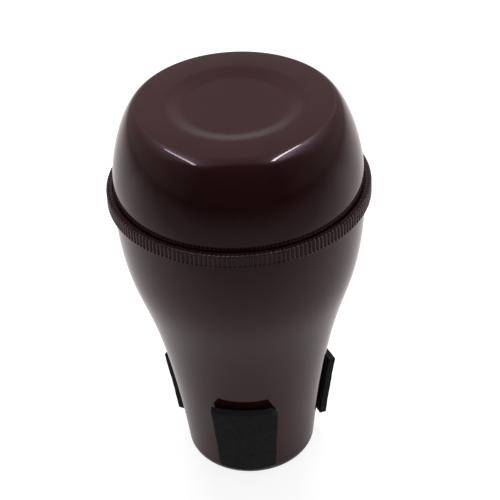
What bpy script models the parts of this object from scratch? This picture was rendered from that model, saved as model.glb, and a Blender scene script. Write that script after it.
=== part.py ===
"""Trombone straight mute: a flared shell, a screwed-on end cap and three foam pads.

The mute stands on its narrow open neck, with +Z up its axis towards the closed end cap.
Everything is in metres, and the origin is at the middle of the neck's end.
"""
import math

import bmesh
import bpy
from mathutils import Vector

MM = 0.001

# Body shell
NECK_RADIUS = 29.8 * MM            # outside of the neck, where its rounded end begins
NECK_ROUNDING = 7.0 * MM           # radius of the neck's rolled-in end
NECK_RIM_WIDTH = 2.0 * MM          # the flat rim between the rounding and the opening
BODY_LENGTH = 143.2 * MM           # from the neck's end to the lower edge of the ring
MOUTH_RADIUS = 56.2 * MM           # outside of the shell, just below the ring
NECK_FLARE_ANGLE = math.radians(6.9)
MOUTH_FLARE_ANGLE = math.radians(3.0)
NECK_FLARE_REACH = 0.743           # how far each end's slope carries into the flare,
MOUTH_FLARE_REACH = 0.444          # as a share of the flare's height
SHELL_WALL = 2.4 * MM
SHELL_STEPS = 48

# Collar and screw thread at the shell's mouth
COLLAR_STEP_IN = 0.3 * MM
COLLAR_WALL = 2.3 * MM
THREAD_PITCH = 1.6 * MM            # right-hand: the ring unscrews counter-clockwise from above
THREAD_DEPTH = 0.9 * MM
THREAD_CREST_WIDTH = 0.4 * MM
THREAD_BASE_WIDTH = 0.8 * MM
THREAD_ROOTING = 0.35 * MM         # how deep the ridge is rooted in the wall behind it
THREAD_END_MARGIN = 0.2 * MM

# Clamping ring
RING_HEIGHT = 6.55 * MM
RING_WALL = 1.1 * MM               # behind the thread, under the ribs
RING_LIP_THICKNESS = 1.3 * MM
RING_EDGE_ROUNDING = 0.7 * MM
RIB_COUNT = 180
RIB_DEPTH = 0.46 * MM

# End cap
CAP_HEIGHT = 39.25 * MM            # above the ring
CAP_STEP_IN = 1.35 * MM            # the cap's foot is this much smaller than the mouth
CAP_FOOT_ANGLE = math.radians(48.0)
CAP_FOOT_REACH = 4.2 * MM
CAP_FLAT_RADIUS = 42.9 * MM
CAP_SHOULDER_REACH = 7.6 * MM
RECESS_RADIUS = 29.9 * MM
RECESS_FLOOR_RADIUS = 23.6 * MM
RECESS_DEPTH = 1.3 * MM
FLANGE_CATCH = 1.0 * MM            # how far the flange reaches under the ring's lip
FLANGE_THICKNESS = 1.05 * MM
SPIGOT_DEPTH = 5.0 * MM
SPIGOT_WALL = 3.0 * MM

# Sealing ring in the spigot's groove
SEAL_SECTION = 1.3 * MM
SEAL_PROUD = 0.25 * MM
SEAL_STEPS = 8

# Foam pads round the neck, each on a film of adhesive
PAD_TOP_WIDTH = 31.3 * MM
PAD_BOTTOM_WIDTH = 26.5 * MM
PAD_THICKNESS = 3.5 * MM
PAD_CLIP_ACROSS = 2.6 * MM
PAD_CLIP_ALONG = 4.8 * MM
PAD_CUTS = 6                       # cuts that let the slab bend, each way
FILM_THICKNESS = 0.2 * MM
FILM_INSET = 1.0 * MM
# Name, turn from the front, lower end, length, radius of its bend in neck radii,
# how much higher its lower corners are, and whether an upper corner is clipped
PADS = (
    ("front", math.radians(-4.4), 9.2 * MM, 38.1 * MM, 1.15, 1.6 * MM, True),
    ("right", math.radians(116.6), 11.0 * MM, 32.9 * MM, 4.0, 0.0, False),
    ("left", math.radians(-127.5), 12.7 * MM, 32.8 * MM, 2.8, 0.0, False),
)

# Clearances
TOUCH_GAP = 0.3 * MM               # between pieces that bear on each other
THREAD_GAP = 0.3 * MM              # from a thread's crest to the wall it faces
JOINT_GAP = 0.5 * MM               # round the cap, inside the ring's lip
SPIGOT_GAP = 0.5 * MM
SEAL_GAP = 0.25 * MM               # behind the sealing ring, in its groove
FILM_GAP = 0.25 * MM
WELD_DISTANCE = 0.005 * MM

# Sizes that follow from the ones above
NECK_OPENING_RADIUS = NECK_RADIUS - NECK_ROUNDING - NECK_RIM_WIDTH
RING_TOP = BODY_LENGTH + RING_HEIGHT
LIP_UNDERSIDE = RING_TOP - RING_LIP_THICKNESS
FLANGE_TOP = LIP_UNDERSIDE - TOUCH_GAP
FLANGE_BOTTOM = FLANGE_TOP - FLANGE_THICKNESS
COLLAR_TOP = FLANGE_BOTTOM - TOUCH_GAP
COLLAR_RADIUS = MOUTH_RADIUS - COLLAR_STEP_IN
COLLAR_BORE = COLLAR_RADIUS - COLLAR_WALL
RING_BORE = COLLAR_RADIUS + THREAD_DEPTH + THREAD_GAP
RIB_ROOT_RADIUS = RING_BORE + RING_WALL
RIB_CREST_RADIUS = RIB_ROOT_RADIUS + RIB_DEPTH
CAP_FOOT_RADIUS = MOUTH_RADIUS - CAP_STEP_IN
LIP_RADIUS = CAP_FOOT_RADIUS + JOINT_GAP
FLANGE_RADIUS = LIP_RADIUS + FLANGE_CATCH
THREAD_START = BODY_LENGTH + THREAD_END_MARGIN + THREAD_BASE_WIDTH / 2
THREAD_RISE = COLLAR_TOP - BODY_LENGTH - 2 * THREAD_END_MARGIN - THREAD_BASE_WIDTH
THREAD_TURNS = THREAD_RISE / THREAD_PITCH
SPIGOT_RADIUS = COLLAR_BORE - SPIGOT_GAP
SPIGOT_BORE = SPIGOT_RADIUS - SPIGOT_WALL
SPIGOT_END = FLANGE_BOTTOM - SPIGOT_DEPTH
SEAL_RADIUS = SPIGOT_RADIUS + SEAL_PROUD - SEAL_SECTION / 2
SEAL_HEIGHT = (FLANGE_BOTTOM + SPIGOT_END) / 2
TOTAL_HEIGHT = RING_TOP + CAP_HEIGHT
PAD_LIFT = 2 * FILM_GAP + FILM_THICKNESS

FLARE_POINTS = 11
ROUNDING_POINTS = 5
CAP_SIDE_POINTS = 11
EDGE_POINTS = 2


def clear_scene():
    for item in list(bpy.data.objects):
        bpy.data.objects.remove(item, do_unlink=True)


def make_collection(name):
    collection = bpy.data.collections.new(name)
    bpy.context.scene.collection.children.link(collection)
    return collection


def make_material(name, color, roughness, coat=0.0):
    material = bpy.data.materials.new(name)
    material.use_nodes = True
    shader = material.node_tree.nodes["Principled BSDF"]
    shader.inputs["Base Color"].default_value = (*color, 1.0)
    shader.inputs["Roughness"].default_value = roughness
    shader.inputs["Metallic"].default_value = 0.0
    shader.inputs["Coat Weight"].default_value = coat
    return material


def bezier(start, start_handle, end_handle, end, count):
    """Points along a cubic curve, both ends included, as (radius, height) pairs."""
    points = []
    for index in range(count):
        t = index / (count - 1)
        weights = ((1 - t) ** 3, 3 * t * (1 - t) ** 2, 3 * t * t * (1 - t), t ** 3)
        corners = (start, start_handle, end_handle, end)
        points.append(tuple(sum(w * c[axis] for w, c in zip(weights, corners)) for axis in (0, 1)))
    return points


def arc(center, radius, start_angle, end_angle, count):
    """Points along an arc, with angles measured from +radius towards +height."""
    step = (end_angle - start_angle) / (count - 1)
    return [(center[0] + radius * math.cos(start_angle + step * index),
             center[1] + radius * math.sin(start_angle + step * index)) for index in range(count)]


def offset_inwards(points, distance):
    """The same line moved to its right-hand side, which is inwards on a line that runs down."""
    moved = []
    for index, (radius, height) in enumerate(points):
        before = points[max(index - 1, 0)]
        after = points[min(index + 1, len(points) - 1)]
        run = Vector((after[0] - before[0], after[1] - before[1])).normalized()
        moved.append((radius + run.y * distance, height - run.x * distance))
    return moved


def body_flare():
    """The shell's outside, from the mouth down to where the neck's end starts to round."""
    neck = (NECK_RADIUS, NECK_ROUNDING)
    mouth = (MOUTH_RADIUS, BODY_LENGTH)
    height = BODY_LENGTH - NECK_ROUNDING
    neck_reach = NECK_FLARE_REACH * height
    mouth_reach = MOUTH_FLARE_REACH * height
    mouth_handle = (mouth[0] - mouth_reach * math.sin(MOUTH_FLARE_ANGLE),
                    mouth[1] - mouth_reach * math.cos(MOUTH_FLARE_ANGLE))
    neck_handle = (neck[0] + neck_reach * math.sin(NECK_FLARE_ANGLE),
                   neck[1] + neck_reach * math.cos(NECK_FLARE_ANGLE))
    return bezier(mouth, mouth_handle, neck_handle, neck, FLARE_POINTS)


def cap_side():
    """The cap's outside, from the edge of its flat end down to its foot at the ring."""
    top = (CAP_FLAT_RADIUS, TOTAL_HEIGHT)
    foot = (CAP_FOOT_RADIUS, RING_TOP + TOUCH_GAP)
    top_handle = (top[0] + CAP_SHOULDER_REACH, top[1])
    foot_handle = (foot[0] + CAP_FOOT_REACH * math.sin(CAP_FOOT_ANGLE),
                   foot[1] + CAP_FOOT_REACH * math.cos(CAP_FOOT_ANGLE))
    return bezier(top, top_handle, foot_handle, foot, CAP_SIDE_POINTS)


def link(obj, collection, material=None):
    collection.objects.link(obj)
    if material is not None:
        obj.data.materials.append(material)
    return obj


def turned(name, profile, closed, collection, material=None, turns=1.0, rise=0.0):
    """A profile of (radius, height) points carried round the Z axis."""
    mesh = bpy.data.meshes.new(name)
    count = len(profile)
    edges = [(index, index + 1) for index in range(count - 1)]
    if closed:
        edges.append((count - 1, 0))
    mesh.from_pydata([(radius, 0.0, height) for radius, height in profile], edges, [])
    obj = link(bpy.data.objects.new(name, mesh), collection, material)
    screw = obj.modifiers.new("Turn", "SCREW")
    screw.axis = "Z"
    screw.angle = turns * math.tau
    screw.screw_offset = rise
    screw.steps = round(SHELL_STEPS * turns)
    screw.render_steps = screw.steps
    screw.use_merge_vertices = rise == 0.0
    screw.merge_threshold = WELD_DISTANCE
    return obj


def evaluated_mesh(obj):
    depsgraph = bpy.context.evaluated_depsgraph_get()
    return bpy.data.meshes.new_from_object(obj.evaluated_get(depsgraph), depsgraph=depsgraph)


def as_mesh(obj, collection):
    """The object's evaluated shape as a closed, welded mesh object that takes its place."""
    name = obj.name
    mesh = evaluated_mesh(obj)
    solid = bmesh.new()
    solid.from_mesh(mesh)
    bmesh.ops.remove_doubles(solid, verts=solid.verts, dist=WELD_DISTANCE)
    rims = [edge for edge in solid.edges if edge.is_boundary]
    if rims:
        bmesh.ops.holes_fill(solid, edges=rims)
    bmesh.ops.recalc_face_normals(solid, faces=solid.faces)
    solid.to_mesh(mesh)
    solid.free()
    matrix = obj.matrix_world.copy()
    bpy.data.objects.remove(obj, do_unlink=True)
    made = link(bpy.data.objects.new(name, mesh), collection)
    made.name = name
    made.matrix_world = matrix
    return made


def as_cutter(obj):
    obj.hide_render = True
    obj.display_type = "WIRE"
    return obj


def combine(obj, other, operation):
    boolean = obj.modifiers.new(operation.title(), "BOOLEAN")
    boolean.operation = operation
    boolean.solver = "EXACT"
    boolean.object = as_cutter(other)


def smooth(obj, limit_degrees=32.0):
    mesh = obj.data
    mesh.shade_smooth()
    mesh.set_sharp_from_angle(angle=math.radians(limit_degrees))


def thread_ridge(name, wall_radius, outward, start_angle, tools):
    """A helical ridge of trapezoid section on a wall, facing outwards or inwards.

    The ring's ridge starts half a turn from the collar's, so it runs half a pitch below it.
    """
    side = 1.0 if outward else -1.0
    root = wall_radius - side * THREAD_ROOTING
    crest = wall_radius + side * THREAD_DEPTH
    slope = (THREAD_BASE_WIDTH - THREAD_CREST_WIDTH) / 2 / THREAD_DEPTH
    half_crest = THREAD_CREST_WIDTH / 2
    half_root = THREAD_BASE_WIDTH / 2 + slope * THREAD_ROOTING
    section = [(root, THREAD_START + half_root), (crest, THREAD_START + half_crest),
               (crest, THREAD_START - half_crest), (root, THREAD_START - half_root)]
    ridge = turned(name, section, True, tools, turns=THREAD_TURNS, rise=THREAD_RISE)
    ridge.rotation_euler.z = start_angle
    bpy.context.view_layer.update()
    return as_mesh(ridge, tools)


def body_profile():
    inner_flare = offset_inwards(body_flare(), SHELL_WALL)
    rounding_center = (NECK_RADIUS - NECK_ROUNDING, NECK_ROUNDING)
    outer_end = arc(rounding_center, NECK_ROUNDING, 0.0, -math.pi / 2, ROUNDING_POINTS)
    inner_end = arc(rounding_center, NECK_ROUNDING - SHELL_WALL, -math.pi / 2, 0.0, ROUNDING_POINTS)
    outer = [(COLLAR_RADIUS, COLLAR_TOP), (COLLAR_RADIUS, BODY_LENGTH)]
    outer += body_flare() + outer_end[1:]
    inner = [(NECK_OPENING_RADIUS, 0.0), (NECK_OPENING_RADIUS, SHELL_WALL)] + inner_end[:-1]
    inner += list(reversed(inner_flare))[:-1]
    inner += [(COLLAR_BORE, BODY_LENGTH), (COLLAR_BORE, COLLAR_TOP)]
    return outer + inner


def body_shell(parts, tools, plastic):
    shell = turned("body_shell", body_profile(), True, parts, plastic)
    combine(shell, thread_ridge("collar_thread", COLLAR_RADIUS, True, 0.0, tools), "UNION")
    smooth(shell)
    return shell


def cap_profile():
    side = cap_side()
    inner_side = list(reversed(offset_inwards(side, SHELL_WALL)))
    foot_inside = [point for point in inner_side if point[1] > RING_TOP + SHELL_WALL]
    end = [(0.0, TOTAL_HEIGHT - RECESS_DEPTH), (RECESS_FLOOR_RADIUS, TOTAL_HEIGHT - RECESS_DEPTH),
           (RECESS_RADIUS, TOTAL_HEIGHT)]
    half_groove = SEAL_SECTION / 2 + TOUCH_GAP
    groove_root = SEAL_RADIUS - SEAL_SECTION / 2 - SEAL_GAP
    outer = end + side + [
        (CAP_FOOT_RADIUS, FLANGE_TOP), (FLANGE_RADIUS, FLANGE_TOP), (FLANGE_RADIUS, FLANGE_BOTTOM),
        (SPIGOT_RADIUS, FLANGE_BOTTOM), (SPIGOT_RADIUS, SEAL_HEIGHT + half_groove),
        (groove_root, SEAL_HEIGHT + half_groove), (groove_root, SEAL_HEIGHT - half_groove),
        (SPIGOT_RADIUS, SEAL_HEIGHT - half_groove), (SPIGOT_RADIUS, SPIGOT_END)]
    inner = [(SPIGOT_BORE, SPIGOT_END), (SPIGOT_BORE, RING_TOP)] + foot_inside[:-1]
    inner += [(CAP_FLAT_RADIUS, TOTAL_HEIGHT - SHELL_WALL),
              (RECESS_RADIUS, TOTAL_HEIGHT - SHELL_WALL),
              (RECESS_FLOOR_RADIUS, TOTAL_HEIGHT - RECESS_DEPTH - SHELL_WALL),
              (0.0, TOTAL_HEIGHT - RECESS_DEPTH - SHELL_WALL)]
    return outer + inner


def end_cap(parts, plastic):
    cap = turned("end_cap", cap_profile(), False, parts, plastic)
    smooth(cap)
    return cap


def ribbed_disc(name, tools):
    """A solid disc with the ring's ribbed outline, as thick as the ring."""
    curve = bpy.data.curves.new(name, "CURVE")
    curve.dimensions = "2D"
    curve.fill_mode = "BOTH"
    curve.extrude = RING_HEIGHT / 2
    outline = curve.splines.new("POLY")
    outline.points.add(2 * RIB_COUNT - 1)
    for index, point in enumerate(outline.points):
        angle = math.tau * index / (2 * RIB_COUNT)
        radius = RIB_ROOT_RADIUS if index % 2 else RIB_CREST_RADIUS
        point.co = (radius * math.cos(angle), radius * math.sin(angle), 0.0, 1.0)
    outline.use_cyclic_u = True
    disc = link(bpy.data.objects.new(name, curve), tools)
    disc.location.z = BODY_LENGTH + RING_HEIGHT / 2
    bpy.context.view_layer.update()
    return as_mesh(disc, tools)


def ring_blank(name, tools):
    """The turned blank of the ring: its stepped bore, its lip and its rounded upper edge."""
    spare = RING_WALL              # how far the blank reaches past the ribbed disc
    reach = RIB_CREST_RADIUS + spare
    edge_center = (RIB_CREST_RADIUS - RING_EDGE_ROUNDING, RING_TOP - RING_EDGE_ROUNDING)
    edge = arc(edge_center, RING_EDGE_ROUNDING, math.pi / 2, 0.0, EDGE_POINTS)
    profile = [(LIP_RADIUS, RING_TOP)] + edge + [
        (reach, edge_center[1] - spare), (reach, BODY_LENGTH - spare),
        (RING_BORE, BODY_LENGTH - spare), (RING_BORE, LIP_UNDERSIDE), (LIP_RADIUS, LIP_UNDERSIDE)]
    return as_mesh(turned(name, profile, True, tools), tools)


def knurled_ring(parts, tools, plastic):
    ring = ribbed_disc("knurled_ring", parts)
    ring.data.materials.append(plastic)
    combine(ring, ring_blank("ring_blank", tools), "INTERSECT")
    combine(ring, thread_ridge("ring_thread", RING_BORE, False, math.pi, tools), "UNION")
    return ring


def sealing_ring(parts, rubber):
    top = math.pi / 2
    section = arc((SEAL_RADIUS, SEAL_HEIGHT), SEAL_SECTION / 2, top, top - math.tau, SEAL_STEPS + 1)
    seal = turned("sealing_ring", section[:-1], True, parts, rubber)
    smooth(seal, 60.0)
    return seal


def neck_frame(distance):
    """The point of the neck's outside that far up from its rounded end, and its outward normal."""
    line = list(reversed(body_flare()))
    walked = 0.0
    for start, end in zip(line, line[1:]):
        run = Vector((end[0] - start[0], end[1] - start[1]))
        if walked + run.length >= distance:
            break
        walked += run.length
    run_unit = run.normalized()
    point = Vector(start) + run_unit * (distance - walked)
    return point, Vector((run_unit.y, -run_unit.x))


def cut_across(slab, axis):
    """Cuts that slice a unit cube at even steps along one axis."""
    whole = [edge for edge in slab.edges if (edge.verts[0].co - edge.verts[1].co)[axis] ** 2 > 0.9]
    bmesh.ops.subdivide_edges(slab, edges=whole, cuts=PAD_CUTS, use_grid_fill=True)


def bent_slab(name, pad, lift, thickness, inset, collection, material):
    """A flat tapered slab, bent round the neck along its outline and glued on at its middle."""
    turn, lower_end, length, bend_ratio, corner_rise, clipped = pad
    slab = bmesh.new()
    bmesh.ops.create_cube(slab, size=1.0)
    for vertex in slab.verts:
        vertex.co += Vector((0.5, 0.5, 0.5))
    cut_across(slab, 1)
    cut_across(slab, 0)
    for vertex in slab.verts:
        across, along, depth = vertex.co
        width = PAD_BOTTOM_WIDTH + (PAD_TOP_WIDTH - PAD_BOTTOM_WIDTH) * along - 2 * inset
        lower_edge = inset + corner_rise * (2 * across - 1) ** 2
        vertex.co = Vector(((across - 0.5) * width, lower_edge + along * (length - inset - lower_edge),
                            depth * thickness))
    if clipped:
        clip_start = Vector((PAD_TOP_WIDTH / 2 - inset - PAD_CLIP_ACROSS, length - inset, 0.0))
        geometry = list(slab.verts) + list(slab.edges) + list(slab.faces)
        bmesh.ops.bisect_plane(slab, geom=geometry, plane_co=clip_start, clear_outer=True,
                               plane_no=Vector((PAD_CLIP_ALONG, PAD_CLIP_ACROSS, 0.0)))
        bmesh.ops.holes_fill(slab, edges=[edge for edge in slab.edges if edge.is_boundary])
        bmesh.ops.recalc_face_normals(slab, faces=slab.faces)
    for vertex in slab.verts:
        across_pad, along_pad, depth = vertex.co
        point, normal = neck_frame(lower_end - NECK_ROUNDING + along_pad)
        bend = bend_ratio * point.x + lift + depth
        drop = bend * (1 - math.cos(across_pad / bend))
        radius = point.x + normal.x * (lift + depth) - drop
        height = point.y + normal.y * (lift + depth)
        side = bend * math.sin(across_pad / bend)
        vertex.co = Vector((radius * math.sin(turn) + side * math.cos(turn),
                            side * math.sin(turn) - radius * math.cos(turn), height))
    mesh = bpy.data.meshes.new(name)
    slab.to_mesh(mesh)
    slab.free()
    obj = link(bpy.data.objects.new(name, mesh), collection, material)
    smooth(obj)
    return obj


def pads(parts, foam, adhesive):
    for name, *pad in PADS:
        bent_slab("pad_" + name, pad, PAD_LIFT, PAD_THICKNESS, 0.0, parts, foam)
        bent_slab("pad_film_" + name, pad, FILM_GAP, FILM_THICKNESS, FILM_INSET, parts, adhesive)


def joint_empty(name, height, collection, parent=None):
    empty = bpy.data.objects.new(name, None)
    collection.objects.link(empty)
    empty.empty_display_size = RING_HEIGHT
    empty.location.z = height
    if parent is not None:
        empty.parent = parent
        empty.location.z = height - parent.location.z
    return empty


def hang(child, parent):
    bpy.context.view_layer.update()
    child.parent = parent
    child.matrix_parent_inverse = parent.matrix_world.inverted()


def build():
    clear_scene()
    parts = make_collection("trombone_mute")
    tools = make_collection("cutters")
    plastic = make_material("maroon_abs", (0.045, 0.016, 0.018), 0.16, coat=0.3)
    foam = make_material("black_foam", (0.012, 0.012, 0.013), 0.85)
    rubber = make_material("black_rubber", (0.015, 0.015, 0.015), 0.55)
    adhesive = make_material("adhesive_film", (0.02, 0.02, 0.02), 0.40)

    body_shell(parts, tools, plastic)
    pads(parts, foam, adhesive)
    cap = end_cap(parts, plastic)
    seal = sealing_ring(parts, rubber)
    ring = knurled_ring(parts, tools, plastic)

    lift_axis = joint_empty("cap_lift_axis", FLANGE_BOTTOM, parts)
    turn_axis = joint_empty("ring_turn_axis", LIP_UNDERSIDE, parts, lift_axis)
    hang(cap, lift_axis)
    hang(seal, lift_axis)
    hang(ring, turn_axis)


build()
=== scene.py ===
# Trombone straight mute: a moulded shell and cap, a ribbed screw ring and three foam pads.
import math

import bmesh
import bpy
import numpy as np
from mathutils import Matrix, Vector


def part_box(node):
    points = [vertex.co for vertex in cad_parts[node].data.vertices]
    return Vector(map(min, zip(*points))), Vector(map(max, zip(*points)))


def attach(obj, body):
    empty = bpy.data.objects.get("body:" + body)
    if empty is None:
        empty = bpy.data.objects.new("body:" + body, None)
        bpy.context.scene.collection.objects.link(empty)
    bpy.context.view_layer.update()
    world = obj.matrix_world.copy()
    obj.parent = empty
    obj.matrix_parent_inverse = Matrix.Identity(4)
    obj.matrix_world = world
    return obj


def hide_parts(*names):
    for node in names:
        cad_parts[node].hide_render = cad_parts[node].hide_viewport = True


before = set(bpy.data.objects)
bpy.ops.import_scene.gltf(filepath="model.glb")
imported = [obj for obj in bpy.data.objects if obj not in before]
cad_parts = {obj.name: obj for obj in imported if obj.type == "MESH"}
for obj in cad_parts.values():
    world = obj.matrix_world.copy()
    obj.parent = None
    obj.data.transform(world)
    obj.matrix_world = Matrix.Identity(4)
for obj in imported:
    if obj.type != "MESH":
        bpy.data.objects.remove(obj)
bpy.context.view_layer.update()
mm = 0.001
turn = 2 * math.pi

ringLow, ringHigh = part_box("knurled_ring")
_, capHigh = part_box("end_cap")
ringBottom = ringLow.z               # the shell's mouth is level with the ring's lower edge
ringTop = ringHigh.z
ribCrest = ringHigh.x
muteHeight = capHigh.z
print("frame loaded: mute %.1f mm tall, ring %.1f mm wide" % (muteHeight / mm, 2 * ribCrest / mm))


# Meshes

# Puts points and faces into a mesh with its doubles merged. Its faces point out where the
# sum of corner . (corner x corner) is positive, and are turned round where it isn't.
def makePiece(name, points, faces, body, stoodFor=(), smoothAngle=40.0):
    corners = points[faces[:, :3]]
    volume = np.einsum("ij,ij->i", corners[:, 0], np.cross(corners[:, 1], corners[:, 2])).sum()
    if volume < 0:
        faces = faces[:, ::-1]
    mesh = bpy.data.meshes.new(name)
    mesh.vertices.add(len(points))
    mesh.vertices.foreach_set("co", points.astype(np.float32).ravel())
    mesh.loops.add(faces.size)
    mesh.loops.foreach_set("vertex_index", faces.astype(np.int32).ravel())
    mesh.polygons.add(len(faces))
    mesh.polygons.foreach_set("loop_start", np.arange(len(faces), dtype=np.int32) * faces.shape[1])
    mesh.update(calc_edges=True)
    mesh.validate()
    piece = bpy.data.objects.new(name, mesh)
    bpy.context.scene.collection.objects.link(piece)
    bpy.context.view_layer.objects.active = piece
    welded = mergeDoubles(mesh)
    mesh.shade_smooth()
    mesh.set_sharp_from_angle(angle=math.radians(smoothAngle))
    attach(piece, body)
    if stoodFor:
        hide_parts(*stoodFor)
    print("made %s, %d faces" % (name, welded))
    return piece


# Welds points that lie within half a micrometre of each other.
def mergeDoubles(mesh):
    work = bmesh.new()
    work.from_mesh(mesh)
    bmesh.ops.remove_doubles(work, verts=work.verts, dist=0.0005 * mm)
    work.to_mesh(mesh)
    count = len(work.faces)
    work.free()
    return count


# Quads between neighbouring grid points, with the last row or column joined to the first.
def gridFaces(rows, columns, closeRows=False, closeColumns=False):
    row = np.arange(rows if closeRows else rows - 1)
    column = np.arange(columns if closeColumns else columns - 1)
    row, column = np.meshgrid(row, column, indexing="ij")
    nextRow, nextColumn = (row + 1) % rows, (column + 1) % columns
    quads = np.stack([row * columns + column, nextRow * columns + column,
                      nextRow * columns + nextColumn, row * columns + nextColumn], -1)
    return quads.reshape(-1, 4)


# A cubic curve: its points are the four corners weighted by the cubic Bernstein terms.
def bezierLine(start, startHandle, endHandle, end, count):
    t = np.linspace(0.0, 1.0, count)[:, None]
    return ((1 - t) ** 3 * start + 3 * t * (1 - t) ** 2 * startHandle
            + 3 * t * t * (1 - t) * endHandle + t ** 3 * end)


# A line through (radius, height, rounding) corners, each cut back and bridged by a parabola.
# The parabola's points are start, corner and end weighted by (1-t)^2, 2t(1-t) and t^2.
def softLine(corners, arcPoints=7):
    corners = [np.array(corner, float) for corner in corners]
    line = [corners[0][None, :2]]
    mostCut = 0.45                   # of a stretch, so that its two ends' bends don't meet
    support = 1.12                   # a row just outside the bend keeps the flat beside it flat
    t = np.linspace(0.0, 1.0, arcPoints)[:, None]
    for before, corner, after in zip(corners, corners[1:], corners[2:]):
        place, rounding = corner[:2], corner[2]
        if rounding == 0:
            line.append(place[None])
            continue
        inward, onward = before[:2] - place, after[:2] - place
        cutIn = min(rounding, mostCut * np.linalg.norm(inward))
        cutOn = min(rounding, mostCut * np.linalg.norm(onward))
        start = place + inward / np.linalg.norm(inward) * cutIn
        end = place + onward / np.linalg.norm(onward) * cutOn
        line.append((place + (start - place) * support)[None])
        line.append((1 - t) ** 2 * start + 2 * t * (1 - t) * place + t * t * end)
        line.append((place + (end - place) * support)[None])
    line.append(corners[-1][None, :2])
    return np.concatenate(line)


# The same line moved sideways along its normal, to the right of its direction (dr, dz): the
# normal is (dz, -dr) at a length of one.
def offsetLine(line, distance):
    run = np.gradient(line, axis=0)
    run /= np.linalg.norm(run, axis=1)[:, None]
    return line + np.stack([run[:, 1], -run[:, 0]], -1) * distance


# The line with its long stretches cut, so that no step is much longer than the spacing.
def spread(line, spacing):
    steps = np.linalg.norm(np.diff(line, axis=0), axis=1)
    travelled = np.concatenate([[0.0], np.cumsum(steps)])
    cuts = [np.linspace(a, b, max(int((b - a) / spacing), 1), endpoint=False)
            for a, b in zip(travelled, travelled[1:])]
    places = np.concatenate(cuts + [travelled[-1:]])
    return np.stack([np.interp(places, travelled, line[:, axis]) for axis in (0, 1)], -1)


# A profile carried round Z: x = r cos a, y = r sin a, z = height. sink(a) moves it inwards
# along its normal.
def lathe(profile, steps, sink=None):
    angles = np.arange(steps) * turn / steps
    radius = np.repeat(profile[:, :1], steps, axis=1)
    height = np.repeat(profile[:, 1:], steps, axis=1)
    if sink is not None:
        outward = offsetLine(profile, 1.0) - profile
        depth = sink(angles)
        radius = radius - outward[:, :1] * depth
        height = height - outward[:, 1:] * depth
    return np.stack([radius * np.cos(angles), radius * np.sin(angles), height], -1).reshape(-1, 3)


# Moulded shell

shell = {
    "neckRadius": 29.8 * mm,
    "neckRounding": 7.0 * mm,
    "openingRadius": 20.8 * mm,
    "openingRounding": 0.5 * mm,
    "mouthRadius": 56.2 * mm,
    "neckAngle": math.radians(6.9),
    "mouthAngle": math.radians(3.0),
    "neckReach": 0.743,              # how far each end's slope carries into the flare,
    "mouthReach": 0.444,             # as a share of the flare's height
    "wall": 2.4 * mm,
    "collarRadius": 55.9 * mm,
    "collarBore": 53.6 * mm,
    "flareRows": 86,
    "bendRows": 20,
    "steps": 384,
}
joint = {
    "lipUnderside": ringTop - 1.3 * mm,
    "flangeThickness": 1.05 * mm,
    "touchGap": 0.3 * mm,
    "threadPitch": 1.6 * mm,
    "threadDepth": 0.9 * mm,
    "threadCrest": 0.4 * mm,
    "threadBase": 0.8 * mm,
    "threadRooting": 0.35 * mm,
    "threadMargin": 0.2 * mm,
    "threadRows": 200,               # in one turn
    "threadRunOut": math.radians(14),
    "boreRadius": 57.1 * mm,
}
flangeTop = joint["lipUnderside"] - joint["touchGap"]
flangeBottom = flangeTop - joint["flangeThickness"]
collarTop = flangeBottom - joint["touchGap"]


# A step of length one in (radius, height), turned outwards from straight up by the angle.
def leaning(angle):
    return np.array([math.sin(angle), math.cos(angle)])


# The shell's outside from the mouth down to the neck's rounded end, as one cubic curve.
def flareLine(count):
    mouth = np.array([shell["mouthRadius"], ringBottom])
    neck = np.array([shell["neckRadius"], shell["neckRounding"]])
    height = ringBottom - shell["neckRounding"]
    mouthRun = shell["mouthReach"] * height * leaning(shell["mouthAngle"])
    neckRun = shell["neckReach"] * height * leaning(shell["neckAngle"])
    return bezierLine(mouth, mouth - mouthRun, neck + neckRun, neck, count)


# The flare's outside, the rolled neck, the flare's inside one wall further in, and the collar.
def shellProfile():
    flare = flareLine(shell["flareRows"])
    center = np.array([shell["neckRadius"] - shell["neckRounding"], shell["neckRounding"]])
    bend = np.linspace(0.0, -math.pi / 2, shell["bendRows"])
    around = np.stack([np.cos(bend), np.sin(bend)], -1)
    outerEnd = center + shell["neckRounding"] * around
    innerEnd = (center + (shell["neckRounding"] - shell["wall"]) * around)[::-1]
    lip = softLine([(*outerEnd[-1], 0), (shell["openingRadius"], 0.0, shell["openingRounding"]),
                    (shell["openingRadius"], shell["wall"], shell["openingRounding"]), (*innerEnd[0], 0)])
    inside = offsetLine(flare, shell["wall"])[::-1][:-1:2]
    collar = softLine([
        (*inside[-1], 0), (shell["collarBore"], ringBottom, 0.6 * mm),
        (shell["collarBore"], collarTop, 0.35 * mm), (shell["collarRadius"], collarTop, 0.35 * mm),
        (shell["collarRadius"], ringBottom, 0.1 * mm), (shell["mouthRadius"], ringBottom, 0.12 * mm),
        (*flare[1], 0)])
    return np.concatenate([flare[1:], outerEnd[1:], lip[1:-1], innerEnd, inside[1:], collar[1:-1]])


# The shell's profile carried round.
def makeShell():
    profile = shellProfile()
    points = lathe(profile, shell["steps"])
    faces = gridFaces(len(profile), shell["steps"], closeRows=True, closeColumns=True)
    return makePiece("mouldedShell", points, faces, "body", ["body_shell"],
                     smoothAngle=50.0)


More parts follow.
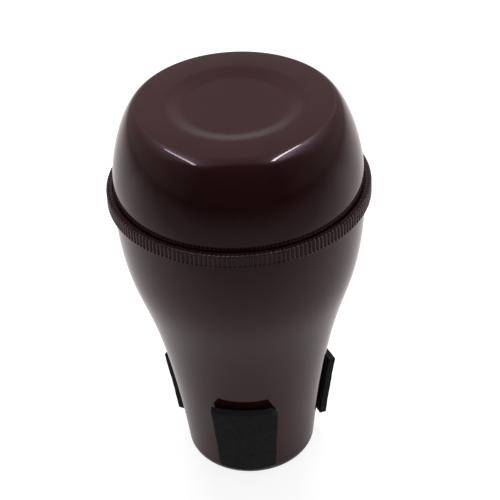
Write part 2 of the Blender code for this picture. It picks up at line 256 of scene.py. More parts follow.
# A ridge of trapezoid section carried along a helix: z rises by the pitch each turn.
# Its depth is multiplied by a smooth step at each end, so that the thread runs out in the wall.
def makeThread(name, wallRadius, side, startAngle, body):
    start = ringBottom + joint["threadMargin"] + joint["threadBase"] / 2
    rise = collarTop - ringBottom - 2 * joint["threadMargin"] - joint["threadBase"]
    turns = rise / joint["threadPitch"]
    count = int(turns * joint["threadRows"])
    share = np.linspace(0.0, 1.0, count)
    fromEnd = np.minimum(share, 1 - share) * turns * turn / joint["threadRunOut"]
    depth = np.clip(fromEnd, 0.0, 1.0)
    depth = depth * depth * (3 - 2 * depth)
    slope = (joint["threadBase"] - joint["threadCrest"]) / 2 / joint["threadDepth"]
    rootHalf = joint["threadBase"] / 2 + slope * joint["threadRooting"]
    crestHalf = joint["threadCrest"] / 2
    outward = np.array([0, 1, 1, 1, 0])
    across = np.array([rootHalf, crestHalf, 0.0, -crestHalf, -rootHalf])
    reach = (joint["threadRooting"] + joint["threadDepth"]) * np.outer(depth, outward)
    radius = wallRadius + side * (reach - joint["threadRooting"])
    angle = (startAngle + share * turns * turn)[:, None]
    height = start + (share * rise)[:, None] + across
    points = np.stack([radius * np.cos(angle), radius * np.sin(angle), height], -1).reshape(-1, 3)
    faces = gridFaces(count, len(across), closeColumns=True)
    ends = np.array([[0, 1, 2, 2], [0, 2, 3, 4]])
    faces = np.concatenate([faces, ends, (ends + (count - 1) * len(across))[:, ::-1]])
    return makePiece(name, points, faces, body)


# Ribbed screw ring

ring = {
    "ribCount": 180,
    "ribDepth": 0.50 * mm,
    "pointsPerRib": 8,
    "ribFullness": 0.6,              # under 1 makes the crests broad and the grooves narrow
    "lipRadius": 55.65 * mm,
    "ribFade": 0.8 * mm,             # the ribs run out over this much of the top,
    "ribReach": 1.4 * mm,            # which starts this far in from the crests,
    "ribFoot": 0.5 * mm,             # and over this much above the lower edge
    "skirtInset": 0.5 * mm,          # the lower edge is set in by this and the rib depth
    "lowerRow": 1.5 * mm,            # rows this far from the wall's two ends keep it straight
    "upperRow": 2.5 * mm,
    "edgeRounding": 1.1 * mm,
    "lipRounding": 0.55 * mm,
    "lipDip": 0.5 * mm,              # the lip falls this far towards the cap
}


# The skirt, the wall's crest, the lip over the cap's flange, and the bore.
def ringProfile():
    skirt = ribCrest - ring["ribDepth"] - ring["skirtInset"]
    return softLine([
        (skirt, ringBottom, 0), (ribCrest, ringBottom, 0.3 * mm),
        (ribCrest, ringBottom + ring["lowerRow"], 0.01 * mm),
        (ribCrest, ringTop - ring["upperRow"], 0.01 * mm),
        (ribCrest, ringTop, ring["edgeRounding"]),
        (ring["lipRadius"], ringTop - ring["lipDip"], ring["lipRounding"]),
        (ring["lipRadius"], joint["lipUnderside"], 0.2 * mm),
        (joint["boreRadius"], joint["lipUnderside"], 0.2 * mm),
        (joint["boreRadius"], ringBottom, 0.25 * mm),
        (skirt, ringBottom, 0)], 6)[:-1]


# The ring's profile carried round, its outer wall and edge sunk by the rib depth between the ribs.
# Across one rib the wall stands out by (cos^2)^fullness of the angle from the rib's middle.
def makeRing():
    profile = ringProfile()
    steps = ring["ribCount"] * ring["pointsPerRib"]
    ribEnd = ribCrest - ring["ribReach"] - ring["ribFade"]
    outside = np.clip((profile[:, 0] - ribEnd) / ring["ribFade"], 0.0, 1.0)
    ribbed = outside * np.clip((profile[:, 1] - ringBottom) / ring["ribFoot"], 0.0, 1.0)

    def sink(angles):
        crest = np.cos(angles * ring["ribCount"] / 2) ** 2
        return ring["ribDepth"] * np.outer(ribbed, 1 - crest ** ring["ribFullness"])

    points = lathe(profile, steps, sink)
    faces = gridFaces(len(profile), steps, closeRows=True, closeColumns=True)
    return makePiece("ribbedRing", points, faces, "ring", ["knurled_ring"],
                     smoothAngle=50.0)


# End cap

cap = {
    "flatRadius": 42.9 * mm,
    "shoulderReach": 6.12 * mm,
    "footRadius": 55.25 * mm,
    "footAngle": math.radians(6.0),
    "footReach": 14.03 * mm,
    "footDrop": 0.65 * mm,           # how far the foot stands below the ring's top
    "recessRadius": 29.9 * mm,
    "recessFloorRadius": 23.6 * mm,
    "recessDepth": 1.3 * mm,
    "recessRounding": 1.7 * mm,
    "underRounding": 3.0 * mm,
    "flangeRadius": 56.35 * mm,
    "spigotRadius": 53.1 * mm,
    "spigotBore": 50.1 * mm,
    "spigotDepth": 5.0 * mm,
    "sideRows": 90,
    "rowSpacing": 2.5 * mm,
    "steps": 336,
}
seal = {
    "section": 1.3 * mm,
    "radius": 52.7 * mm,
    "gap": 0.25 * mm,
    "steps": 256,
    "around": 20,
    "dark": (0.010, 0.010, 0.010),
    "bloom": (0.024, 0.023, 0.022),
    "bloomSize": 5.0 * mm,
    "grainSize": 0.4 * mm,
    "grainDepth": 0.01 * mm,
    "roughness": 0.42,
}
spigotEnd = flangeBottom - cap["spigotDepth"]
sealHeight = (flangeBottom + spigotEnd) / 2


# The cap's outside from its flat end to its foot, as one cubic curve.
def capSide(count):
    top = np.array([cap["flatRadius"], muteHeight])
    foot = np.array([cap["footRadius"], ringTop - cap["footDrop"]])
    shoulder = np.array([cap["shoulderReach"], 0.0])
    return bezierLine(top, top + shoulder, foot + cap["footReach"] * leaning(cap["footAngle"]), foot, count)


# The recess, the domed side, the flange and the spigot with its groove, and the inside one wall in.
def capProfile():
    side = capSide(cap["sideRows"])
    recessFloor = muteHeight - cap["recessDepth"]
    wall = shell["wall"]
    end = softLine([
        (0.0, recessFloor, 0), (cap["recessFloorRadius"], recessFloor, cap["recessRounding"]),
        (cap["recessRadius"], muteHeight, cap["recessRounding"]), (*side[1], 0)], 12)[:-1]
    grooveHalf = seal["section"] / 2 + joint["touchGap"]
    grooveRoot = seal["radius"] - seal["section"] / 2 - seal["gap"]
    spigot = softLine([
        (*side[-2], 0), (cap["footRadius"], ringTop - cap["footDrop"], 0.15 * mm),
        (cap["footRadius"], flangeTop, 0.2 * mm), (cap["flangeRadius"], flangeTop, 0.25 * mm),
        (cap["flangeRadius"], flangeBottom, 0.25 * mm), (cap["spigotRadius"], flangeBottom, 0.2 * mm),
        (cap["spigotRadius"], sealHeight + grooveHalf, 0.1 * mm),
        (grooveRoot, sealHeight + grooveHalf, 0.1 * mm), (grooveRoot, sealHeight - grooveHalf, 0.1 * mm),
        (cap["spigotRadius"], sealHeight - grooveHalf, 0.1 * mm),
        (cap["spigotRadius"], spigotEnd, 0.4 * mm), (cap["spigotBore"], spigotEnd, 0.4 * mm),
        (cap["spigotBore"], ringTop, 1.0 * mm), (cap["spigotBore"], ringTop + wall, 0)], 5)[1:-1]
    inside = offsetLine(side, wall)[::-1]
    inside = inside[inside[:, 1] > ringTop + wall][:-1:2]
    under = softLine([
        (*inside[-1], 0), (cap["recessRadius"], muteHeight - wall, cap["underRounding"]),
        (cap["recessFloorRadius"], recessFloor - wall, cap["underRounding"]),
        (0.0, recessFloor - wall, 0)])[1:]
    return np.concatenate([spread(end, cap["rowSpacing"]), side[1:-1], spigot, inside, under])


# The cap's profile carried round.
def makeCap():
    profile = capProfile()
    points = lathe(profile, cap["steps"])
    faces = gridFaces(len(profile), cap["steps"], closeColumns=True)
    return makePiece("mouldedCap", points, faces, "cap", ["end_cap"],
                     smoothAngle=50.0)


# A circle of the seal's section carried round Z.
def makeSeal():
    angle = np.arange(seal["around"]) * turn / seal["around"]
    profile = np.stack([seal["radius"] + seal["section"] / 2 * np.cos(angle),
                        sealHeight + seal["section"] / 2 * np.sin(angle)], -1)
    points = lathe(profile, seal["steps"])
    faces = gridFaces(len(profile), seal["steps"], closeRows=True, closeColumns=True)
    return makePiece("rubberSeal", points, faces, "cap", ["sealing_ring"])


# Foam pads and their films of adhesive

foam = {
    "topWidth": 31.3 * mm,
    "bottomWidth": 26.5 * mm,
    "thickness": 3.5 * mm,
    "lift": 0.7 * mm,
    "clipAcross": 2.6 * mm,
    "clipAlong": 4.8 * mm,
    "edgeRounding": 0.3 * mm,
    "cutWobble": 0.12 * mm,          # how far the hand-cut edges wander, in a slow and a quick wave
    "leftWaves": (0.37, 1.13),       # radians to a millimetre
    "rightWaves": (0.31, 0.97),
    "rowSpacing": 0.6 * mm,
    "cornerPoints": 4,
    "outlineRows": 400,              # of the neck's outline, along which the pads are laid
    # Name, turn from the front, lower end, length, radius of its bend in neck radii,
    # how much higher its lower corners are, and whether an upper corner is clipped
    "places": [
        ("front", math.radians(-4.4), 9.2 * mm, 38.1 * mm, 1.15, 1.6 * mm, True),
        ("right", math.radians(116.6), 11.0 * mm, 32.9 * mm, 4.0, 0.0, False),
        ("left", math.radians(-127.5), 12.7 * mm, 32.8 * mm, 2.8, 0.0, False),
    ],
}
film = {
    "thickness": 0.2 * mm,
    "lift": 0.25 * mm,
    "inset": 1.0 * mm,
    "edgeRounding": 0.05 * mm,
    "rowSpacing": 1.5 * mm,
    "dark": (0.012, 0.012, 0.012),
    "light": (0.028, 0.028, 0.028),
    "fibreSize": 1.2 * mm,
    "bubbleSize": 2.2 * mm,
    "relief": 0.03 * mm,
    "roughness": 0.3,
}


# The outline of a slab's section: which way each point leans, and its place in its corner.
def slabLoop(acrossCount):
    flat = np.linspace(-1.0, 1.0, acrossCount)
    count = foam["cornerPoints"]
    corner = np.linspace(0.0, math.pi / 2, count)
    lean, face, angle = [], [], []
    for leanX, leanZ, first in ((1, 1, 0.0), (-1, 1, 0.25), (-1, -1, 0.5), (1, -1, 0.75)):
        lean.append(np.full(count, float(leanX)))
        face.append(np.full(count, float(leanZ)))
        angle.append(corner + first * turn)
        if first == 0.0:
            lean.append(flat[::-1][1:-1])
            face.append(np.ones(acrossCount - 2))
            angle.append(np.full(acrossCount - 2, math.pi / 2))
        if first == 0.5:
            lean.append(flat[1:-1])
            face.append(-np.ones(acrossCount - 2))
            angle.append(np.full(acrossCount - 2, 1.5 * math.pi))
    return np.concatenate(lean), np.concatenate(face), np.concatenate(angle)


# How far a hand-cut edge wanders: the sine of a slow wave and half that of a quick one.
def cutEdge(along, wobble, slow, quick, phase):
    return wobble * (np.sin(along / mm * slow + phase) + 0.5 * np.sin(along / mm * quick))


# A tapered slab as rings of its rounded section, each ring set inwards at the two ends.
# A ring's point is its lean times the half width or thickness less the rounding, plus the
# rounding's arc. The slab is then bent: along the neck's outline, and across on a wider circle.
def bentSlab(name, place, sizes, inset, node):
    _, padTurn, lowerEnd, length, bendRatio, cornerRise, clipped = place
    thick, rounding = sizes["thickness"], sizes["edgeRounding"]
    arcAngle = np.linspace(0.0, math.pi / 2, foam["cornerPoints"])
    startAlong = np.concatenate([[0.0, 0.0], rounding * (1 - np.cos(arcAngle))])
    arcInset = rounding * (1 - np.sin(arcAngle))
    startInset = np.concatenate([[thick / 2, (thick / 2 + rounding) / 2], arcInset])
    span = length - 2 * inset
    middle = np.linspace(rounding, span - rounding, int(span / sizes["rowSpacing"]))[1:-1]
    along = np.concatenate([startAlong, middle, span - startAlong[::-1]])
    ringInset = np.concatenate([startInset, np.zeros(len(middle)), startInset[::-1]])
    lean, face, angle = slabLoop(int(foam["bottomWidth"] / sizes["rowSpacing"]))
    padAlong = inset + along
    widening = (foam["topWidth"] - foam["bottomWidth"]) * padAlong / length
    halfWidth = (foam["bottomWidth"] + widening) / 2 - inset
    phase = lowerEnd / mm
    wobble = foam["cutWobble"] * min(thick / foam["thickness"], 1.0)
    leftEdge = -halfWidth + cutEdge(padAlong, wobble, *foam["leftWaves"], phase)
    rightEdge = halfWidth + cutEdge(padAlong, wobble, *foam["rightWaves"], 2 * phase)
    if clipped:
        clipStart = length - inset - foam["clipAlong"]
        cut = np.clip(padAlong - clipStart, 0, None) * foam["clipAcross"] / foam["clipAlong"]
        rightEdge = np.minimum(rightEdge, foam["topWidth"] / 2 - inset - cut)
    center = ((leftEdge + rightEdge) / 2)[:, None]
    half = ((rightEdge - leftEdge) / 2 - ringInset)[:, None]
    halfThick = (thick / 2 - ringInset)[:, None]
    bend = np.clip(rounding - ringInset, 0.0, None)[:, None]
    across = center + lean * (half - bend) + bend * np.cos(angle)
    depth = sizes["lift"] + thick / 2 + face * (halfThick - bend) + bend * np.sin(angle)
    rise = cornerRise * (2 * across / foam["bottomWidth"]) ** 2 * (1 - along[:, None] / span)
    points, faces = bendRound(across, padAlong[:, None] + rise, depth, padTurn, lowerEnd, bendRatio)
    return makePiece(name, points, faces, "body", [node])


# Carries a slab's points to the neck. A row goes to its place on the outline, moved out by its
# depth. A point of it goes round a circle: r sin(across / r) sideways, r (1 - cos(across / r))
# inwards.
def bendRound(across, along, depth, padTurn, lowerEnd, bendRatio):
    outline = flareLine(foam["outlineRows"])[::-1]
    steps = np.linalg.norm(np.diff(outline, axis=0), axis=1)
    travelled = np.concatenate([[0.0], np.cumsum(steps)])
    run = np.gradient(outline, axis=0)
    run /= np.linalg.norm(run, axis=1)[:, None]
    distance = lowerEnd - shell["neckRounding"] + along
    neckRadius, neckHeight, runOut, runUp = (
        np.interp(distance, travelled, values) for values in (*outline.T, *run.T))
    circle = bendRatio * neckRadius + depth
    radius = neckRadius + runUp * depth - circle * (1 - np.cos(across / circle))
    height = neckHeight - runOut * depth
    sideways = circle * np.sin(across / circle)
    points = np.stack([radius * math.sin(padTurn) + sideways * math.cos(padTurn),
                       sideways * math.sin(padTurn) - radius * math.cos(padTurn), height], -1)
    return points.reshape(-1, 3), gridFaces(*across.shape, closeColumns=True)


# A pad and its film at each place. The foam fills the pad.
def makePads():
    pads, films = [], []
    for place in foam["places"]:
        side = place[0]
        pad = bentSlab("foamPad_" + side, place, foam, 0.0, "pad_" + side)
        pads.append(pad)
        films.append(bentSlab("glueFilm_" + side, place, film, film["inset"],
                              "pad_film_" + side))
    return pads, films


# Shader nodes

# A node's output that takes part in sums, each of which adds a Math node.
class Wire:
    def __init__(self, graph, socket):
        self.graph = graph
        self.socket = socket

    def work(self, operation, first, second):
        return self.graph.node("ShaderNodeMath", {"operation": operation}, {0: first, 1: second})

    def __add__(self, other):
        return self.work("ADD", self, other)

    def __radd__(self, other):
        return self.work("ADD", other, self)

    def __sub__(self, other):
        return self.work("SUBTRACT", self, other)

    def __rsub__(self, other):
        return self.work("SUBTRACT", other, self)

    def __mul__(self, other):
        return self.work("MULTIPLY", self, other)

    def __rmul__(self, other):
        return self.work("MULTIPLY", other, self)

    def __truediv__(self, other):
        return self.work("DIVIDE", self, other)

    def __pow__(self, other):
        return self.work("POWER", self, other)

    def __rpow__(self, other):
        return self.work("POWER", other, self)

    def __abs__(self):
        return self.work("ABSOLUTE", self, 0.0)


# The node tree of a material or of the world, and the ways that this script adds to it.
class Graph:
    def __init__(self, owner):
        owner.use_nodes = True
        self.tree = owner.node_tree
        self.tree.nodes.clear()

    def node(self, kind, settings=None, inputs=None, output=0):
        made = self.tree.nodes.new(kind)
        for name, value in (settings or {}).items():
            if name == "stops":
                self.setStops(made, value)
            else:
                setattr(made, name, value)
        for name, value in (inputs or {}).items():
            if isinstance(value, Wire):
                self.tree.links.new(value.socket, made.inputs[name])
            else:
                made.inputs[name].default_value = value
        return Wire(self, made.outputs[output]) if len(made.outputs) else made

    def setStops(self, made, stops):
        elements = made.color_ramp.elements
        while len(elements) < len(stops):
            elements.new(1.0)
        for element, (place, value) in zip(elements, stops):
            element.position = place
            element.color = (value, value, value, 1.0)

    # first below low, last above high, and a smooth step between them.
    def fade(self, value, low, high, first=0.0, last=1.0):
        return self.node("ShaderNodeMapRange", {"interpolation_type": "SMOOTHSTEP"}, {
            "Value": value, "From Min": low, "From Max": high, "To Min": first, "To Max": last})

    # Noise whose features are about that size in metres, longer where stretch is above 1.
    def noise(self, place, size, detail=2.0, roughness=0.5, stretch=(1, 1, 1)):
        scaled = self.node("ShaderNodeMapping", None, {
            "Vector": place, "Scale": tuple(1.0 / (size * s) for s in stretch)})
        return self.node("ShaderNodeTexNoise", None, {
            "Vector": scaled, "Scale": 1.0, "Detail": detail, "Roughness": roughness})

    # How far a place is from the middle of its cell, for cells of about that size.
    def cells(self, place, size):
        scaled = self.node("ShaderNodeMapping", None, {"Vector": place, "Scale": (1.0 / size,) * 3})
        return self.node("ShaderNodeTexVoronoi", {"feature": "F1"}, {"Vector": scaled, "Scale": 1.0})

    # Two colours mixed by a share.
    def blend(self, share, first, second):
        return self.node("ShaderNodeMix", {"data_type": "RGBA"}, {
            0: share, 6: first if isinstance(first, Wire) else (*first, 1.0),
            7: second if isinstance(second, Wire) else (*second, 1.0)}, output=2)

    # A relief on the surface, on top of another one where its normal is given.
    def bump(self, height, distance, strength=1.0, normal=None):
        inputs = {"Height": height, "Distance": distance, "Strength": strength}
        if normal is not None:
            inputs["Normal"] = normal
        return self.node("ShaderNodeBump", None, inputs)

    def parts(self, vector):
        split = self.node("ShaderNodeSeparateXYZ", None, {0: vector})
        return [Wire(self, output) for output in split.socket.node.outputs]

    def place(self):
        return self.node("ShaderNodeTexCoord", output="Object")


# Finishes

# A material whose Principled shader takes what shade(graph) gives and the constants.
def finish(name, shade, constants):
    material = bpy.data.materials.new(name)
    graph = Graph(material)
    inputs = dict(constants)
    inputs.update(shade(graph))
    surface = graph.node("ShaderNodeBsdfPrincipled", None, inputs)
    graph.node("ShaderNodeOutputMaterial", None, {"Surface": surface})
    return material


plastic = {
    "deep": (0.021, 0.0050, 0.0055),
    "warm": (0.027, 0.0070, 0.0074),
    "dust": (0.16, 0.14, 0.13),
    "flowSize": 45.0 * mm,           # slow marks of the melt, drawn out along the mute,
    "fineSize": 1.6 * mm,            # with a fine grain over them
    "hazeSize": 26.0 * mm,           # where hands have dulled it
    "hairSize": 3.2 * mm,            # hairline scratches along the mute,
    "hairPatch": 17.0 * mm,          # in patches of this size
    "speckSize": 4.5 * mm,           # one speck of dust to a cell of this size
    "peelSize": 1.1 * mm,            # the moulded surface isn't quite flat
    "peelDepth": 0.0022 * mm,
    "rippleSize": 14.0 * mm,
    "rippleDepth": 0.035 * mm,
    "roughness": 0.055,
    "hazeDulls": 0.035,
    "scratchDulls": 0.12,
    "speckDulls": 0.3,
    "shine": {"IOR": 1.5, "Specular Tint": (1.0, 0.80, 0.81, 1.0)},
}


# Moulded maroon plastic: faint flow marks, handling haze, hairline scratches, specks of dust.
def polishedPlastic(graph):
    place = graph.place()
    flow = graph.noise(place, plastic["flowSize"], 3.0, stretch=(1, 1, 2.5))
    fine = graph.noise(place, plastic["fineSize"], 2.0)
    tone = graph.fade(flow * 0.8 + fine * 0.2, 0.35, 0.65)
    haze = graph.fade(graph.noise(place, plastic["hazeSize"], 4.0, 0.6), 0.5, 0.75)
    hair = abs(graph.noise(place, plastic["hairSize"], 1.0, stretch=(1, 1, 9)) - 0.5)
    patch = graph.fade(graph.noise(place, plastic["hairPatch"]), 0.52, 0.66)
    scratch = graph.fade(hair, 0.0, 0.006, 1.0, 0.0) * patch
    speck = graph.fade(graph.cells(place, plastic["speckSize"]), 0.02, 0.045, 1.0, 0.0)
    color = graph.blend(tone, plastic["deep"], plastic["warm"])
    peel = graph.noise(place, plastic["peelSize"], 1.0)
    ripple = graph.bump(graph.noise(place, plastic["rippleSize"], 1.0), plastic["rippleDepth"])
    return {
        "Base Color": graph.blend(speck * 0.35, color, plastic["dust"]),
        "Roughness": (plastic["roughness"] + haze * plastic["hazeDulls"]
                      + scratch * plastic["scratchDulls"] + speck * plastic["speckDulls"]),
        "Normal": graph.bump(peel, plastic["peelDepth"], 1.0, ripple),
    }


ribs = {
    # dark colour for the painted shade in the grooves, also the dark of the crests' grain
    "groove": (0.012, 0.0036, 0.0038),
    "worn": (0.085, 0.040, 0.040),
    # darker colour for the painted shade on the lip and inside the ring
    "lip": (0.018, 0.0060, 0.0062),
    "lipFade": (1.7 * mm, 0.9 * mm),  # the lip's painted shade comes in between these, in from the crests
    "crestFade": 0.1 * mm,           # the crests are full this far below their tops
    "wearSize": 9.0 * mm,
    "grainSize": 0.5 * mm,
    "grainDepth": 0.006 * mm,
    "roughness": 0.15,
}


# The ring's plastic: its crests rubbed a little lighter and smoother, its grooves and its lip darkened with
# painted shade and rougher.
def ribbedPlastic(graph):
    place = graph.place()
    x, y, _ = graph.parts(place)
    radius = (x * x + y * y) ** 0.5
    crest = graph.fade(radius, ribCrest - ring["ribDepth"], ribCrest - ribs["crestFade"])
    rubbed = crest * graph.fade(graph.noise(place, ribs["wearSize"], 3.0), 0.35, 0.7)
    grain = graph.noise(place, ribs["grainSize"], 2.0)
    # painted shade: the grooves take the dark colour, the crests mix it with the plastic's own by the grain
    body = graph.blend(graph.fade(grain, 0.3, 0.7) * crest, ribs["groove"], plastic["warm"])
    lipFull, lipStart = ribs["lipFade"]
    # painted shade over the lip and the ring's inside, fading out towards the crests
    lipShadeMask = graph.fade(radius, ribCrest - lipFull, ribCrest - lipStart, 1.0, 0.0)
    return {
        "Base Color": graph.blend(lipShadeMask, graph.blend(rubbed * 0.6, body, ribs["worn"]), ribs["lip"]),
        "Roughness": ribs["roughness"] + (1 - crest) * 0.16 + grain * 0.08 - rubbed * 0.05,
        "Normal": graph.bump(grain, ribs["grainDepth"]),
    }


sponge = {
    # the painted shade of the pores and pits
    "poreShade": (0.004, 0.004, 0.0045),
    "wallTone": (0.026, 0.026, 0.0275),
    "lint": (0.06, 0.06, 0.063),
    "cellSize": 0.42 * mm,
    "pitSize": 1.25 * mm,
    "mottleSize": 3.0 * mm,
    "lintSize": 1.5 * mm,
    "relief": 0.22 * mm,
    "roughness": 0.78,
}


# Fine-celled black foam. Its tone is the cells' walls times a mottle, with painted shade in the
# pores between the walls and deeper painted shade in the larger pits, and a little lint lies on it.
def foamRubber(graph):
    place = graph.place()
    wall = graph.fade(graph.cells(place, sponge["cellSize"]), 0.12, 0.62)
    pitShade = graph.fade(graph.cells(place, sponge["pitSize"]), 0.08, 0.24)
    mottle = graph.noise(place, sponge["mottleSize"], 4.0, 0.7)
    fibre = abs(graph.noise(place, sponge["lintSize"], 2.0, stretch=(1, 1, 4)) - 0.5)
    lint = graph.fade(fibre, 0.0, 0.007, 1.0, 0.0)
    # painted shade: dark in the pores between the cell walls and darker still in the larger pits, times a
    # random mottle
    tone = wall * (0.1 + mottle * 1.6) * (0.3 + pitShade * 0.7)
    color = graph.blend(tone, sponge["poreShade"], sponge["wallTone"])
    height = wall * 0.5 + pitShade * 0.8 + mottle * 0.7
    return {
        "Base Color": graph.blend(lint * 0.25, color, sponge["lint"]),
        "Roughness": sponge["roughness"] + wall * 0.15,
        "Normal": graph.bump(height, sponge["relief"], 0.9),
    }


# Black rubber with a greyish bloom in patches and a fine grain.
def sealRubber(graph):
    place = graph.place()
    grain = graph.noise(place, seal["grainSize"], 2.0)
    bloom = graph.fade(graph.noise(place, seal["bloomSize"], 3.0), 0.45, 0.7)
    return {
        "Base Color": graph.blend(bloom, seal["dark"], seal["bloom"]),
        "Roughness": seal["roughness"] + grain * 0.15,
        "Normal": graph.bump(grain, seal["grainDepth"]),
    }


# Dried adhesive: fibres across the film and small bubbles, both a little raised.
def glueFilm(graph):
    place = graph.place()
    fibre = graph.noise(place, film["fibreSize"], 3.0, stretch=(4, 4, 1))
    bubble = graph.fade(graph.cells(place, film["bubbleSize"]), 0.1, 0.25, 1.0, 0.0)
    return {
        "Base Color": graph.blend(fibre, film["dark"], film["light"]),
        "Roughness": film["roughness"] + fibre * 0.2 + bubble * 0.2,
        "Normal": graph.bump(fibre * 0.5 + bubble, film["relief"]),
    }


def dress(pieces, material):
    for piece in pieces:
        piece.data.materials.clear()
        piece.data.materials.append(material)


# Studio: a white table that darkens towards the camera, a white backdrop, a soft ceiling, two
# strip lamps and an overhead lamp

studio = {
    "floorHalf": 6.0,
    "floorGlow": 0.88,               # what the camera sees of the table without its shading
    "floorShade": 0.30,              # how much of the light and the shadow shows on it
    "sideFront": 1.0,                # how far to a side the table's light has halved, in metres,
    "sideBack": 0.6,                 # in front of the mute and behind it,
    "sideTurn": (-0.1, 0.25),        # which meet between these places along y
    "strips": [                      # name, its two ends, width, radiance
        ("leftStrip", (-0.73, -0.73, 0.83), (-0.73, 0.12, 0.96), 0.07, 13.0),
        ("rightStrip", (0.60, -0.75, 0.935), (0.60, 0.22, 1.19), 0.07, 26.0),
    ],
    "stripAim": 0.95,                # the strips face this share of the mute's height
    "overhead": (1.0, 0.5, 1.55, 9.0),  # the soft lamp's width, place behind, height, radiance
    "horizon": [                     # light that comes in level, from the front (0) round to the back (1)
        (0.0, 0.05), (0.115, 0.06), (0.18, 0.12), (0.33, 0.20), (0.5, 0.30), (0.67, 0.34), (0.82, 0.33),
        (0.905, 0.31), (0.96, 0.37), (1.0, 0.50)],
    "tableEnds": (-1.6, 0.6),        # where the table's light starts and ends, along y
    "tableFades": (0.7, 2.4),        # how far out it turns into the level light, in metres
    "neckShadow": (0.02, 0.06, 0.6),  # a painted shadow round the neck's foot: out to the first radius the table is as dim as the third value
    "tableColor": (1.0, 0.93, 0.93, 1.0),
    "table": [                       # the table's light between its ends
        (0.0, 0.03), (0.364, 0.10), (0.50, 0.20), (0.555, 0.29), (0.60, 0.33), (0.64, 0.36), (0.682, 0.53),
        (0.709, 0.59), (0.75, 0.80), (0.782, 1.0), (0.91, 1.25)],
    # The ceiling panel by direction, where a direction's x, y and z make a length of one
    "panelRise": (0.15, 0.5),        # it comes in between these heights
    "panelFront": (-0.78, -0.56),    # and these places along y,
    "panelCorner": (1.06, 1.26),     # and goes out where |x| - y passes these
    "panelGlow": 0.21,               # its light at the middle of the front,
    "panelSides": (0.6, 0.95),       # which fades between these places along x
    "panelBack": (-0.6, 0.8),        # and these along y
    "spillFrom": (0.0, 0.75),        # a glow lies round each strip: while y goes between these,
    "spillAside": (0.62, 0.30),      # its |x| goes between these,
    "spillEnds": (0.1, 0.75),        # and it fades to a tenth between these places along y,
    "spillFall": 0.00025,            # and with this to the power of the distance from it
    "spillLeft": 2.3,                # how bright it is at each side
    "spillRight": 3.6,
    "stripColor": (0.92, 0.94, 1.0),
    "lavender": (0.82, 0.82, 1.0),   # what spills round the strips
    "airShare": 0.3,                 # how much of the world's light a matt surface gets
}


# The level light by direction, which runs from -1 at the front to 1 at the back.
def horizonLight(graph, fromFront):
    return graph.node("ShaderNodeValToRGB", {"stops": studio["horizon"]}, {"Fac": fromFront * 0.5 + 0.5})


# The table's light: its ramp along y, over 1 + (x / half width)^2, and level light further out.
def makeFloor():
    half = studio["floorHalf"]
    mesh = bpy.data.meshes.new("floor")
    corners = [(-half, -half, 0), (half, -half, 0), (half, half, 0), (-half, half, 0)]
    mesh.from_pydata(corners, [], [(0, 1, 2, 3)])
    floor = bpy.data.objects.new("floor", mesh)
    bpy.context.scene.collection.objects.link(floor)
    material = bpy.data.materials.new("tableWhite")
    graph = Graph(material)
    x, y, _ = graph.parts(graph.place())
    front, back = studio["tableEnds"]
    depth = graph.node("ShaderNodeValToRGB", {"stops": studio["table"]}, {
        "Fac": graph.node("ShaderNodeMapRange", None, {
            "Value": y, "From Min": front, "From Max": back})})
    aside = x / graph.fade(y, *studio["sideTurn"], studio["sideFront"], studio["sideBack"])
    far = (x * x + y * y) ** 0.5
    outer = graph.fade(far, *studio["tableFades"])
    strength = depth / (1 + aside * aside) * (1 - outer) + horizonLight(graph, y / far) * outer
    # the table's light, with a painted shadow round the neck's foot
    lit = graph.node("ShaderNodeEmission", None, {
        "Color": studio["tableColor"], "Strength": strength * graph.fade(far, *studio["neckShadow"], 1.0)})
    plain = graph.node("ShaderNodeAddShader", None, {
        0: graph.node("ShaderNodeBsdfDiffuse", None, {"Color": (studio["floorShade"],) * 3 + (1.0,)}),
        1: graph.node("ShaderNodeEmission", None, {"Strength": studio["floorGlow"]})})
    toCamera = graph.node("ShaderNodeLightPath", output="Is Camera Ray")
    surface = graph.node("ShaderNodeMixShader", None, {0: toCamera, 1: lit, 2: plain})
    graph.node("ShaderNodeOutputMaterial", None, {"Surface": surface})
    floor.data.materials.append(material)


# Light by direction: a soft ceiling panel that glows round the two strips, and a dark front.
def makeWorld():
    world = bpy.data.worlds.new("studioAir")
    bpy.context.scene.world = world
    graph = Graph(world)
    x, y, z = graph.parts(graph.node("ShaderNodeTexCoord", output="Generated"))
    panel = (graph.fade(z, *studio["panelRise"]) * graph.fade(y, *studio["panelFront"])
             * graph.fade(abs(x) - y, *studio["panelCorner"], 1.0, 0.0))
    ceiling = (graph.fade(abs(x), *studio["panelSides"], 1.0, 0.0)
               * graph.fade(y, *studio["panelBack"], studio["panelGlow"], 0.0))
    fromStrip = abs(abs(x) - graph.fade(y, *studio["spillFrom"], *studio["spillAside"]))
    spill = (panel * studio["spillFall"] ** fromStrip * graph.fade(y, *studio["spillEnds"], 1.0, 0.1)
             * graph.fade(x, -0.1, 0.1, studio["spillLeft"], studio["spillRight"]))
    toMatt = graph.node("ShaderNodeLightPath", output="Is Diffuse Ray")
    strength = (horizonLight(graph, y) + panel * ceiling + spill) * (1 - toMatt * (1 - studio["airShare"]))
    color = graph.blend(graph.fade(spill, 0.0, 0.7), (1.0, 1.0, 1.0), studio["lavender"])
    air = graph.node("ShaderNodeBackground", None, {"Color": color, "Strength": strength})
    white = graph.node("ShaderNodeBackground", None, {"Color": (1, 1, 1, 1), "Strength": 1.0})
    toCamera = graph.node("ShaderNodeLightPath", output="Is Camera Ray")
    surface = graph.node("ShaderNodeMixShader", None, {0: toCamera, 1: air, 2: white})
    graph.node("ShaderNodeOutputWorld", None, {"Surface": surface})


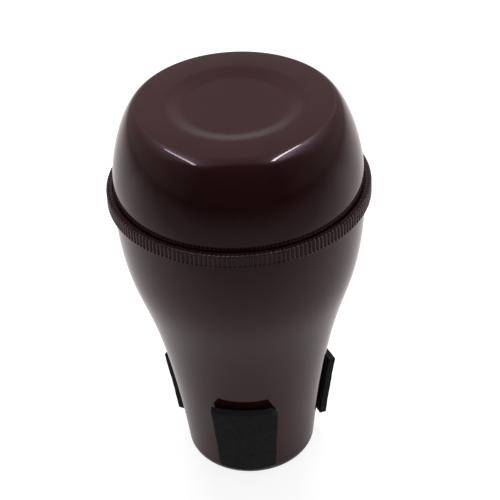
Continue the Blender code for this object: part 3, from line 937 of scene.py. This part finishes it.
# Two strips that show in the polish, and an overhead lamp that only lights and casts the shadow.
def makeLights():
    aim = Vector((0, 0, muteHeight * studio["stripAim"]))
    for name, start, end, width, radiance in studio["strips"]:
        start, end = Vector(start), Vector(end)
        length = (end - start).length
        middle = (start + end) / 2
        along = (end - start) / length
        back = middle - aim
        back = (back - along * back.dot(along)).normalized()
        lamp = makeLamp(name, width, length, radiance, studio["stripColor"])
        turned = Matrix((along.cross(back), along, back)).transposed()
        lamp.matrix_world = Matrix.Translation(middle) @ turned.to_4x4()
        lamp.visible_diffuse = False
    width, back, height, radiance = studio["overhead"]
    lamp = makeLamp("overheadLamp", width, width, radiance, (1.0, 1.0, 1.0))
    lamp.location = (0, back, height)
    lamp.rotation_euler.x = -math.atan2(back, height)
    lamp.visible_glossy = False


# A lamp's energy is its radiance times pi times its area.
def makeLamp(name, width, length, radiance, color):
    light = bpy.data.lights.new(name, "AREA")
    light.shape = "RECTANGLE"
    light.size, light.size_y = width, length
    light.color = color
    light.energy = radiance * math.pi * length * width
    lamp = bpy.data.objects.new(name, light)
    bpy.context.scene.collection.objects.link(lamp)
    return lamp


# Camera: the photograph's, in a frame of 500 by 500

view = {
    "elevation": math.radians(35.6316),
    "distance": 5.0,                 # from the middle of the mute, in heights of the mute
    "focal": 2067.315,               # pixels
    "frame": 500,
    "roll": math.radians(-2.8843),
    "aside": -0.0145569,             # where the mute's middle lies off the frame's, in heights
    "above": -0.0699880,
}


# Across and rising are the level and the upright axis of the view, turned by the roll. The
# focal length in pixels over the frame's pixels is the lens's over the sensor's width.
def makeCamera():
    up = Vector((0, math.sin(view["elevation"]), math.cos(view["elevation"])))
    back = Vector((0, -math.cos(view["elevation"]), math.sin(view["elevation"])))
    right = Vector((1, 0, 0))
    across = right * math.cos(view["roll"]) + up * math.sin(view["roll"])
    rising = up * math.cos(view["roll"]) - right * math.sin(view["roll"])
    lens = bpy.data.cameras.new("camera")
    lens.sensor_width = 36.0
    lens.lens = lens.sensor_width * view["focal"] / view["frame"]
    lens.clip_start, lens.clip_end = 0.01, 50.0
    camera = bpy.data.objects.new("camera", lens)
    bpy.context.scene.collection.objects.link(camera)
    middle = Vector((0, 0, muteHeight / 2))
    offset = back * view["distance"] - across * view["aside"] - rising * view["above"]
    turned = Matrix((across, rising, back)).transposed()
    camera.matrix_world = Matrix.Translation(middle + offset * muteHeight) @ turned.to_4x4()
    bpy.context.scene.camera = camera


makeCamera()
shellPiece = makeShell()
shellThread = makeThread("shellThread", shell["collarRadius"], 1, 0.0, "body")
capPiece = makeCap()
ringPiece = makeRing()
ringThread = makeThread("ringThread", joint["boreRadius"], -1, math.pi, "ring")
sealPiece = makeSeal()
padPieces, filmPieces = makePads()

dress([shellPiece, shellThread, capPiece], finish("maroonPlastic", polishedPlastic, plastic["shine"]))
dress([ringPiece, ringThread], finish("ribbedMaroonPlastic", ribbedPlastic, plastic["shine"]))
dress([sealPiece], finish("blackSealRubber", sealRubber, {"IOR": 1.5}))
dress(padPieces, finish("blackFoamRubber", foamRubber, {"IOR": 1.4, "Specular IOR Level": 0.3}))
dress(filmPieces, finish("blackGlueFilm", glueFilm, {"IOR": 1.45}))
print("finishes done")

makeFloor()
makeWorld()
makeLights()
bpy.context.scene.view_settings.view_transform = "Standard"
print("studio done")
